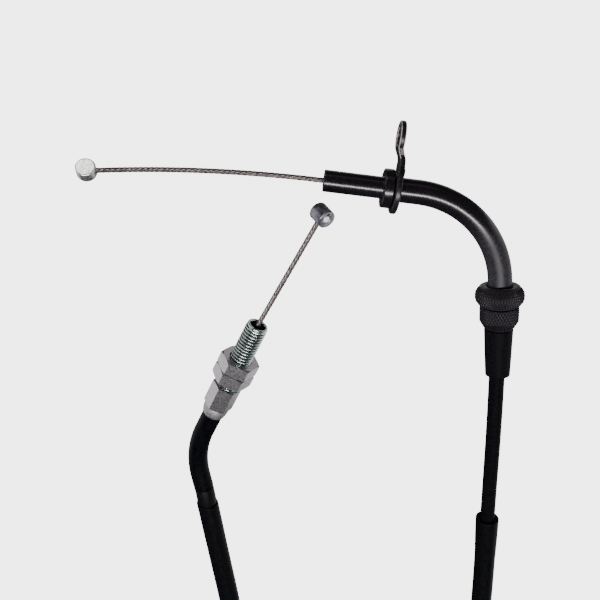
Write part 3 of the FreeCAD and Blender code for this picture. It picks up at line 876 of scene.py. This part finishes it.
def filleted_path(start, corner, end, radius):
    """Straight, arc, straight: distance from the start to point and direction."""
    first = (corner - start).normalized()
    last = (end - corner).normalized()
    turn = first.angle(last)
    reach = radius * math.tan(turn / 2.0)
    before = (corner - start).length - reach
    inward = (last - first * last.dot(first)).normalized()

    def at(s):
        if s <= before:
            return start + first * s, first
        a = (s - before) / radius
        if a <= turn:
            arc = start + first * before + first * radius * math.sin(a) + inward * radius * (1 - math.cos(a))
            return arc, first * math.cos(a) + inward * math.sin(a)
        return corner + last * (reach + s - before - radius * turn), last

    return at, before + radius * turn + (end - corner).length - reach


def carb_pipe():
    level_at = (CARB_MOUTH.z - CARB_PIPE_END.z) / math.sin(math.radians(CARB_RISE_DEG))
    path, length = filleted_path(carb_point(CARB_PIPE_FROM), carb_point(level_at), CARB_PIPE_END,
                                 CARB_PIPE_BEND_R)
    outline = rounded(wall(0, length, CARB_PIPE_BORE_R, CARB_PIPE_R), CARB_PIPE_ROUND)
    piece(skin("bent_pipe", path, subdivided(outline, 0.8), 64), "cable", PIPE_BLACK, "carb_pipe")


def pipe_end_bush():
    reach = Vector(CARB_SLEEVE_ROUTE[0]) - CARB_PIPE_END
    outline = rounded(wall(BUSH_GAP, reach.length - BUSH_GAP, JACKET_R + BUSH_GAP, BUSH_R), BUSH_ROUND)
    bush = skin("glossy_bush", line_path(CARB_PIPE_END, reach.normalized()), outline, 64)
    piece(bush, "cable", BUSH_BLACK, "pipe_end_bush")


# ---------------------------------------------------------------- inner wire and nipples

FREE_WIRE = 80.0
WIRE_DROP_Y = -7.2
WIRE_DROP_Z = -4.2
WIRE_STUB = 25.5
WIRE_R = 0.9
STRANDS = 6
STRAND_LAY = 11.0
STRAND_DEPTH = 0.3
WIRE_STEP = 0.25
WIRE_CORE_R = 0.5
WIRE_SHARP_DEG = 60.0
CARB_WIRE_LENGTH = 46.6
CARB_WIRE_STUB = 5.0
THROTTLE_WIRE_SHORT = 1.0
CARB_WIRE_SHORT = 1.6
JUST_BEFORE = 0.99
THROTTLE_NIPPLE_R = 3.45
THROTTLE_NIPPLE_LENGTH = 5.4
THROTTLE_NIPPLE_TILT_DEG = 40.0
THROTTLE_NIPPLE_LEAN_DEG = 14.0
CARB_NIPPLE_R = 3.1
CARB_NIPPLE_HOLE_R = 1.25
CARB_NIPPLE_LENGTH = 6.0
CARB_NIPPLE_TILT_DEG = 50.0
THROTTLE_NIPPLE_TAPER = 1.3
CARB_NIPPLE_TAPER = 0.4
NIPPLE_ROUND = 0.5
CLOSED_R = 0.01
FACE_NORMAL = 0.5
SOLDER_SUNK = 1.1
SOLDER_DEEP = 1.0
PIT_R = 0.5
PIT_DEEP = 0.4
PIT_SUNK = 0.35
PIT_SIDE = 1.6
PIT_UP = 1.1


def bow_point(distance):
    share = (distance / FREE_WIRE) ** 2
    return Vector((-distance, WIRE_DROP_Y * share, WIRE_DROP_Z * share))


def bow_path(s):
    """From the stub's inner end out through the mouth and along the bowed free wire."""
    distance = s - WIRE_STUB
    if distance <= 0:
        return Vector((-distance, 0, 0)), Vector((-1, 0, 0))
    step = 0.1
    return bow_point(distance), (bow_point(distance + step) - bow_point(distance)).normalized()


def strand_shape(angle, s, r):
    """Six strands laid round each other: the section is a lobed circle that turns along the wire."""
    if r < WIRE_CORE_R:
        return r
    turn = STRANDS * (angle / (2 * math.pi) - s / STRAND_LAY)
    lobe = abs((turn % 1.0) - 0.5) * 2.0
    return r * (1.0 - STRAND_DEPTH * lobe ** 2.5)


def strand_wire(name, path, length):
    steps = math.ceil(length / WIRE_STEP)
    outline = [(length * i / steps, WIRE_R) for i in range(steps + 1)]
    outline = [(0, CLOSED_R)] + outline + [(length, CLOSED_R)]
    return skin(name, path, outline, 48, strand_shape, WIRE_SHARP_DEG)


def wires():
    throttle = strand_wire("throttle_strands", bow_path, WIRE_STUB + FREE_WIRE - THROTTLE_WIRE_SHORT)
    piece(throttle, "throttle_wire", STRAND_STEEL, "throttle_inner_wire")
    start = CARB_MOUTH - CARB_WIRE * CARB_WIRE_STUB
    carb = strand_wire("carb_strands", line_path(start, CARB_WIRE),
                       CARB_WIRE_STUB + CARB_WIRE_LENGTH - CARB_WIRE_SHORT)
    piece(carb, "carb_wire", STRAND_STEEL, "carb_inner_wire")


def nipple(name, centre, axis, radius, length, bore, taper):
    """Cast barrel that narrows at its far end; a bore smaller than the rounding stays closed."""
    half = length / 2.0
    inner = bore if bore > NIPPLE_ROUND else -2.0 * NIPPLE_ROUND
    outline = rounded([(-half, inner), (-half, radius - taper), (-half + taper, radius), (half, radius),
                       (half, inner)], NIPPLE_ROUND, 4)
    outline = [(s, max(r, CLOSED_R)) for s, r in subdivided(outline, 0.3)]
    return skin(name, line_path(centre, axis), outline, 72)


def second_material(obj, axis, material, on_end):
    """A second material for the end face, or else for everything but the end face."""
    obj.data.materials.append(material)
    for polygon in obj.data.polygons:
        is_end = polygon.normal.dot(axis) > FACE_NORMAL
        polygon.material_index = 1 if is_end == on_end else 0


def throttle_nipple():
    last = (bow_point(FREE_WIRE * JUST_BEFORE) - bow_point(FREE_WIRE)).normalized()
    side = UP.cross(last).normalized()
    upward = last.cross(side).normalized()
    tilt = math.radians(THROTTLE_NIPPLE_TILT_DEG)
    lean = math.radians(THROTTLE_NIPPLE_LEAN_DEG)
    axis = (upward * math.cos(tilt) + side * math.sin(tilt)) * math.cos(lean) + last * math.sin(lean)
    bright = nipple("bright_nipple", bow_point(FREE_WIRE), axis, THROTTLE_NIPPLE_R, THROTTLE_NIPPLE_LENGTH,
                    0.0, THROTTLE_NIPPLE_TAPER)
    piece(bright, "throttle_wire", CAST_BRIGHT_LIT_FACE, "throttle_nipple")
    # Its sides take the darker copy: painted shade.
    second_material(bright, axis, CAST_BRIGHT_SHADED_SIDE, False)


def carb_nipple():
    side, upward = across(CARB_WIRE)
    tilt = math.radians(CARB_NIPPLE_TILT_DEG)
    axis = side * math.cos(tilt) + upward * math.sin(tilt)
    centre = CARB_MOUTH + CARB_WIRE * CARB_WIRE_LENGTH
    dark = nipple("dark_nipple", centre, axis, CARB_NIPPLE_R, CARB_NIPPLE_LENGTH, CARB_NIPPLE_HOLE_R,
                  CARB_NIPPLE_TAPER)
    piece(dark, "carb_wire", CAST_DARK_SHADED_SIDE, "carb_nipple")
    # Its end face takes the lighter copy: painted light.
    second_material(dark, axis, CAST_DARK_LIT_FACE, True)
    fill = centre + axis * (CARB_NIPPLE_LENGTH / 2.0 - SOLDER_SUNK)
    solder_fill(fill, axis)
    pit_shade_disc(fill, axis)


def solder_fill(base, axis):
    """Solder that fills most of the nipple's hole, with a domed top below the face."""
    outline = [(0.0, CLOSED_R), (0.0, CARB_NIPPLE_HOLE_R - 0.02), (SOLDER_DEEP, CARB_NIPPLE_HOLE_R - 0.1),
               (SOLDER_DEEP, CLOSED_R)]
    piece(skin("solder_fill", line_path(base, axis), rounded(outline, 0.5, 5), 48), "carb_wire", SOLDER)


def pit_shade_disc(base, axis):
    """Black disc of painted shade in the nipple's face, beside the hole, standing for a pit."""
    level = UP.cross(axis)
    beside = level.normalized() * PIT_SIDE + axis.cross(level).normalized() * PIT_UP
    spot = base + axis * (SOLDER_SUNK - PIT_SUNK) + beside
    outline = rounded(wall(0.0, PIT_DEEP, CLOSED_R, PIT_R), 0.1, 3)
    piece(skin("pit_shade_disc", line_path(spot, axis), outline, 32), "carb_wire", PAINTED_SHADE_BLACK)


# ---------------------------------------------------------------- sleeve mouths and coil ties

MOUTH_FROM = -0.5
MOUTH_WIDE_TO = 8.0
MOUTH_TO = 18.0
MOUTH_BORE_R = JACKET_R + 0.12
MOUTH_ROUND = 0.25
MOUTH_FLARE_KEPT = 0.7
MOUTH_PROUD = 0.02
MOUTH_LAP = 0.6
MOUTH_CUT_REACH = 4.0
TIE_WIDTH = 3.6
TIE_THICK = 0.7
TIE_GAP = 0.06
TIE_CORNER = 3.2


def sleeve_mouth(name, route, flare, askew):
    """The sleeve's open end: wider than the sleeve behind it, and cut a little askew."""
    start = Vector(route[0])
    run = (Vector(route[1]) - start).normalized()
    outline = rounded([(MOUTH_FROM, MOUTH_BORE_R), (MOUTH_FROM, SLEEVE_R + flare),
                       (MOUTH_WIDE_TO, SLEEVE_R + flare * MOUTH_FLARE_KEPT),
                       (MOUTH_TO, SLEEVE_R + MOUTH_PROUD), (MOUTH_TO, SLEEVE_R - MOUTH_LAP),
                       (1.0, MOUTH_BORE_R)], MOUTH_ROUND)
    mouth = skin(name, line_path(start, run), subdivided(outline, 0.5), 64)
    side = run.cross(UP).normalized()
    for vertex in mouth.data.vertices:
        offset = vertex.co - start * MM
        edge = 1.0 - smooth(offset.dot(run) / (MOUTH_CUT_REACH * MM))
        vertex.co += run * offset.dot(side) * askew * edge
    return piece(mouth, "cable", SLEEVE)


def tie_band(name, degrees):
    """Band round both turns, with rounded corners."""
    half_width = SLEEVE_R + TIE_GAP + TIE_THICK / 2.0
    low = FLOOR + TIE_THICK / 2.0
    high = COIL_HIGH + SLEEVE_R + TIE_GAP + TIE_THICK / 2.0
    corners = [(-half_width, low), (half_width, low), (half_width, high), (-half_width, high)]
    loop = rounded(corners, TIE_CORNER, 6)
    mesh = bmesh.new()
    turn = Matrix.Rotation(math.radians(degrees), 3, "Z")
    centre = Vector((COIL_CENTRE[0], COIL_CENTRE[1], 0))
    rings = []
    for i, (x, z) in enumerate(loop):
        before = Vector(loop[i - 1])
        after = Vector(loop[(i + 1) % len(loop)])
        along = (after - before).normalized()
        outward = Vector((along.y, -along.x))
        ring = []
        for thick, wide in ((-0.5, -0.5), (-0.5, 0.5), (0.5, 0.5), (0.5, -0.5)):
            px = COIL_R + x + outward.x * thick * TIE_THICK
            pz = z + outward.y * thick * TIE_THICK
            ring.append(mesh.verts.new((centre + turn @ Vector((px, wide * TIE_WIDTH, pz))) * MM))
        rings.append(ring)
    bridge(mesh, rings, True)
    return piece(finish_mesh(f"{name}_band", mesh, 40.0), "cable", TIE_BLACK, name)


guide_pipe()
pipe_collar()
retainer_plate()
lock_ring()
adjuster_barrel()
rubber_boot()
stud()
carb_fitting()
lock_nuts()
carb_pipe()
pipe_end_bush()
wires()
throttle_nipple()
carb_nipple()
mouths = [sleeve_mouth("sleeve_mouth_throttle_side", THROTTLE_SLEEVE_ROUTE, 0.4, 0.0),
          sleeve_mouth("sleeve_mouth_carb_side", CARB_SLEEVE_ROUTE, 0.05, -0.26)]
ties = [tie_band(name, degrees) for name, degrees in TIE_DEGREES.items()]

CAD_MATERIALS = {
    "guide_liner": LINER_WHITE,
    "carb_pipe_liner": LINER_WHITE,
    "inner_wire_elbow": STRAND_STEEL,
    "inner_wire_carb_pipe": STRAND_STEEL,
    "housing_ferrule": ZINC,
    "carb_housing_stub": JACKET,
}
for node, material in CAD_MATERIALS.items():
    dress(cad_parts[node], material)

# ---------------------------------------------------------------- studio

STAGE_SIZE = 3.0
FLOOR_GLOW = 4.4
WORLD_GLOW = 0.04

# place from the view's target in metres, width and height in metres, power in watts
LAMPS = {
    "key_softbox": ((0.0, -0.17, 0.60), (0.60, 0.08), 7.0),
    "left_softbox": ((-0.9, -0.1, -0.20), (1.3, 1.2), 7.2),
    "right_softbox": ((0.9, -0.1, -0.20), (1.3, 1.2), 6.9),
    "nipple_card": ((-0.32, 0.83, 0.33), (0.25, 0.25), 1.0),
    "far_softbox": ((0.0, 0.9, 0.30), (0.8, 0.25), 0.2),
    "floor_bounce": ((0.06, 0.20, -0.40), (0.4, 0.4), 0.4),
    "low_card": ((0.55, -0.56, -0.70), (0.45, 0.45), 0.8),
}


def studio_floor():
    bpy.ops.mesh.primitive_plane_add(size=STAGE_SIZE, location=(0, 0, FLOOR * MM))
    floor = bpy.context.object
    floor.name = "floor"
    made, tree, shader = new_material("pale_floor")
    shader.inputs["Base Color"].default_value = (0.0, 0.0, 0.0, 1.0)
    shader.inputs["Roughness"].default_value = 0.9
    shader.inputs["Specular IOR Level"].default_value = 0.0
    shader.inputs["Emission Color"].default_value = (1.0, 1.0, 1.0, 1.0)
    shader.inputs["Emission Strength"].default_value = FLOOR_GLOW
    floor.data.materials.append(made)
    floor.visible_glossy = False
    floor.visible_diffuse = False
    floor.visible_shadow = False


def lamp(name, place, size, power):
    data = bpy.data.lights.new(name, "AREA")
    data.shape = "RECTANGLE"
    data.size = size[0]
    data.size_y = size[1]
    data.energy = power
    obj = bpy.data.objects.new(name, data)
    obj.location = VIEW_TARGET + Vector(place)
    obj.rotation_euler = (-Vector(place)).to_track_quat("-Z", "Y").to_euler()
    bpy.context.scene.collection.objects.link(obj)


def studio_light():
    world = bpy.data.worlds.new("studio")
    world.use_nodes = True
    world.node_tree.nodes["Background"].inputs["Color"].default_value = (1.0, 1.0, 1.0, 1.0)
    world.node_tree.nodes["Background"].inputs["Strength"].default_value = WORLD_GLOW
    bpy.context.scene.world = world
    for name, (place, size, power) in LAMPS.items():
        lamp(name, place, size, power)


studio_floor()
studio_light()
